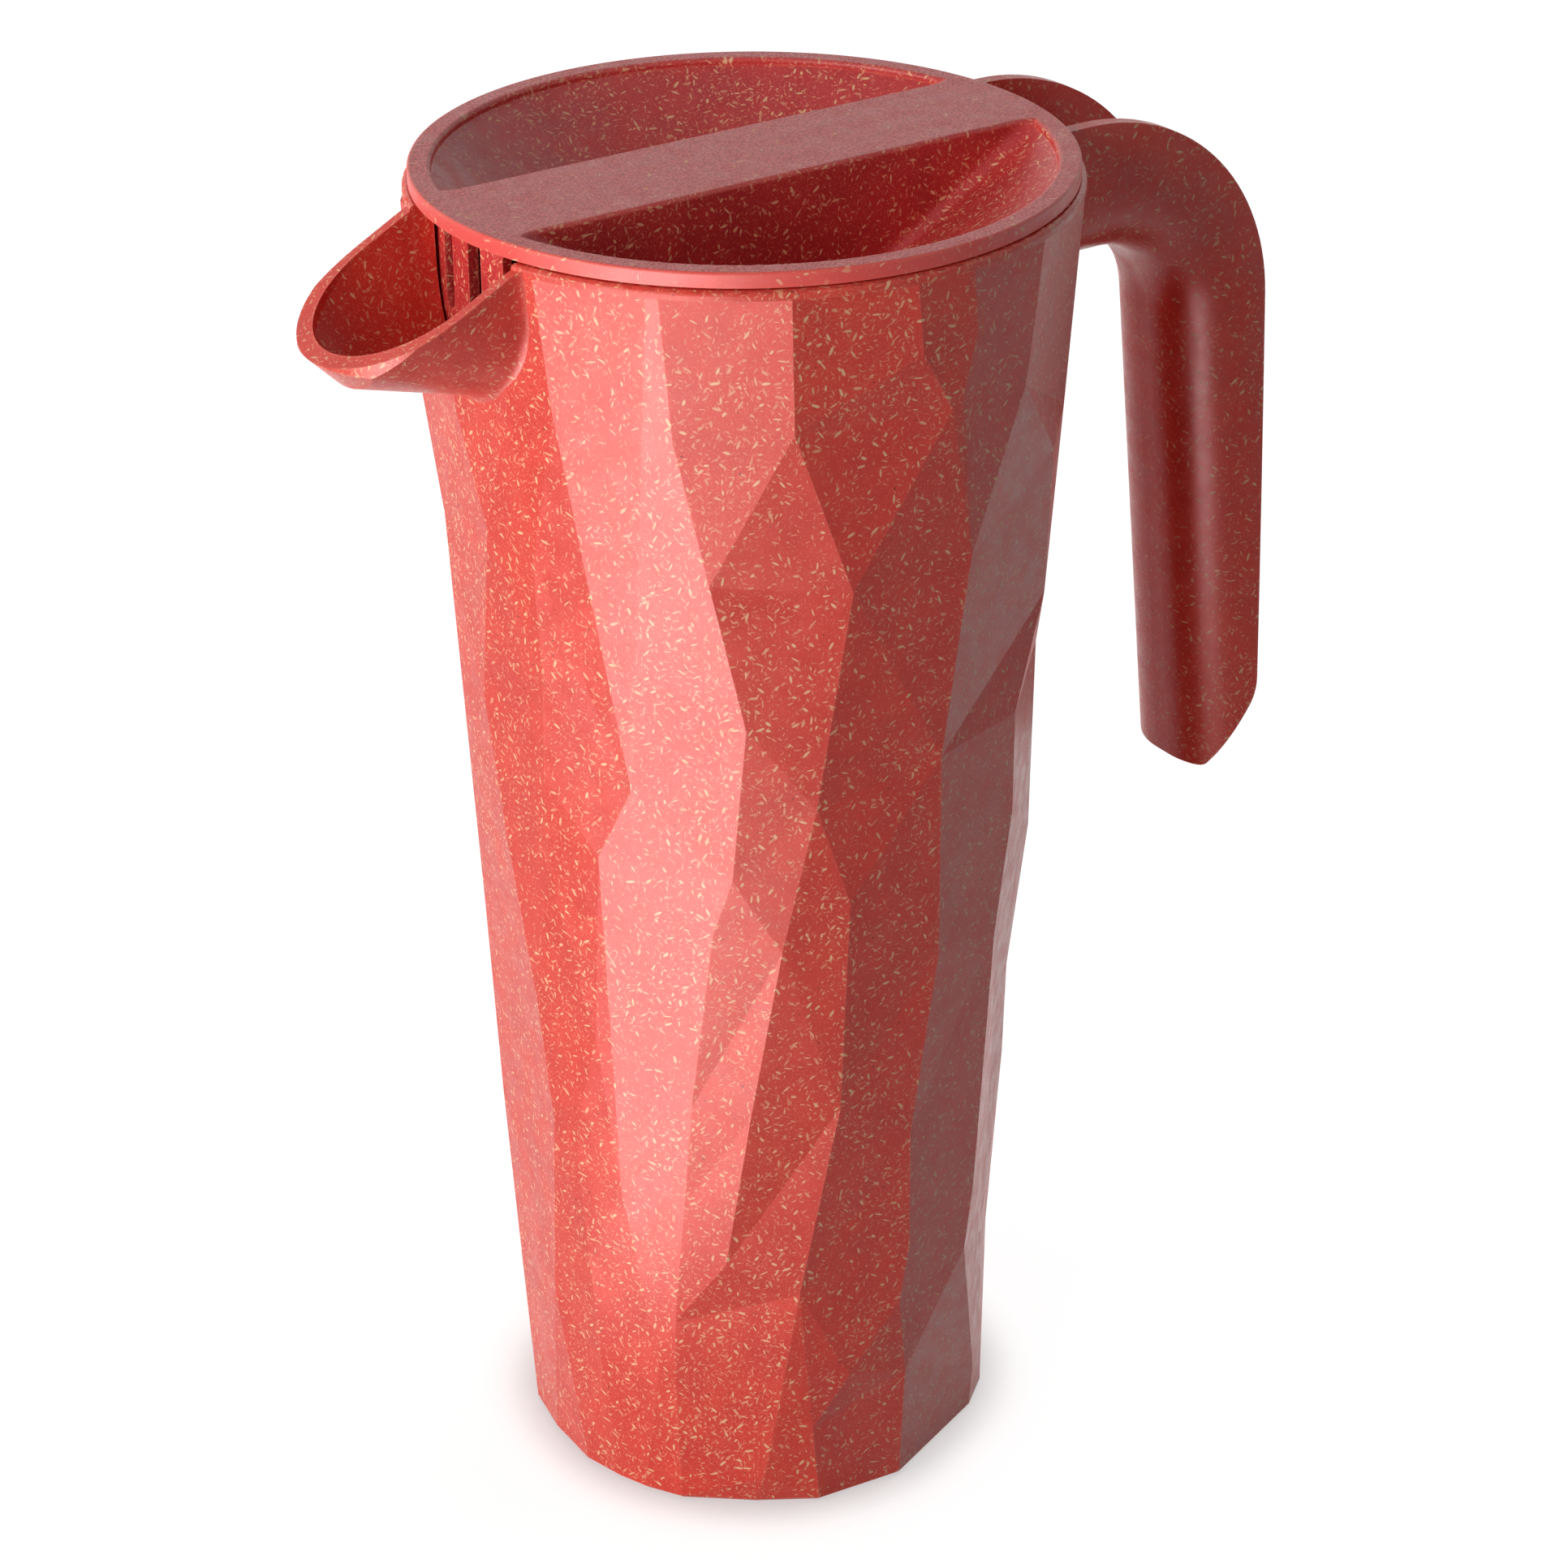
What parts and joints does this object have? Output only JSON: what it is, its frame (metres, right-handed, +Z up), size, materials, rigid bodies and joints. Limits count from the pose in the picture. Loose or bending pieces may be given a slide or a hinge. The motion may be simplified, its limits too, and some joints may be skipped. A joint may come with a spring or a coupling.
{
  "type": "lidded jug",
  "caption": "Tapered crystal-cut jug with a pouring spout, an open channel handle and a lid that lifts off and turns to strain or close.",
  "frame": {"origin": "centre of the foot ring, on the surface it stands on", "axes": "+Z up along the jug, +X towards the handle, -X towards the spout"},
  "size_m": [0.196, 0.119, 0.26],
  "materials": {
    "jug_plastic": "red fibre-flecked plastic with a soft gloss",
    "lid_plastic": "the same red plastic, matte on its upper faces"
  },
  "bodies": {
    "jug": {"jug_body": "jug_plastic", "pouring_spout": "jug_plastic", "handle": "jug_plastic"},
    "lid_seat": {"seat_band": "lid_plastic"},
    "lid": {"lid_top": "lid_plastic", "strainer_skirt": "lid_plastic"}
  },
  "joints": [
    {"name": "lid_lift", "type": "slide", "parent": "jug", "child": "lid_seat", "axis": [0, 0, 1], "range_m": [0, 0.04]},
    {"name": "lid_turn", "type": "hinge", "parent": "lid_seat", "child": "lid", "pos_m": [0, 0, 0.25], "axis": [0, 0, 1], "continuous": true}
  ]
}
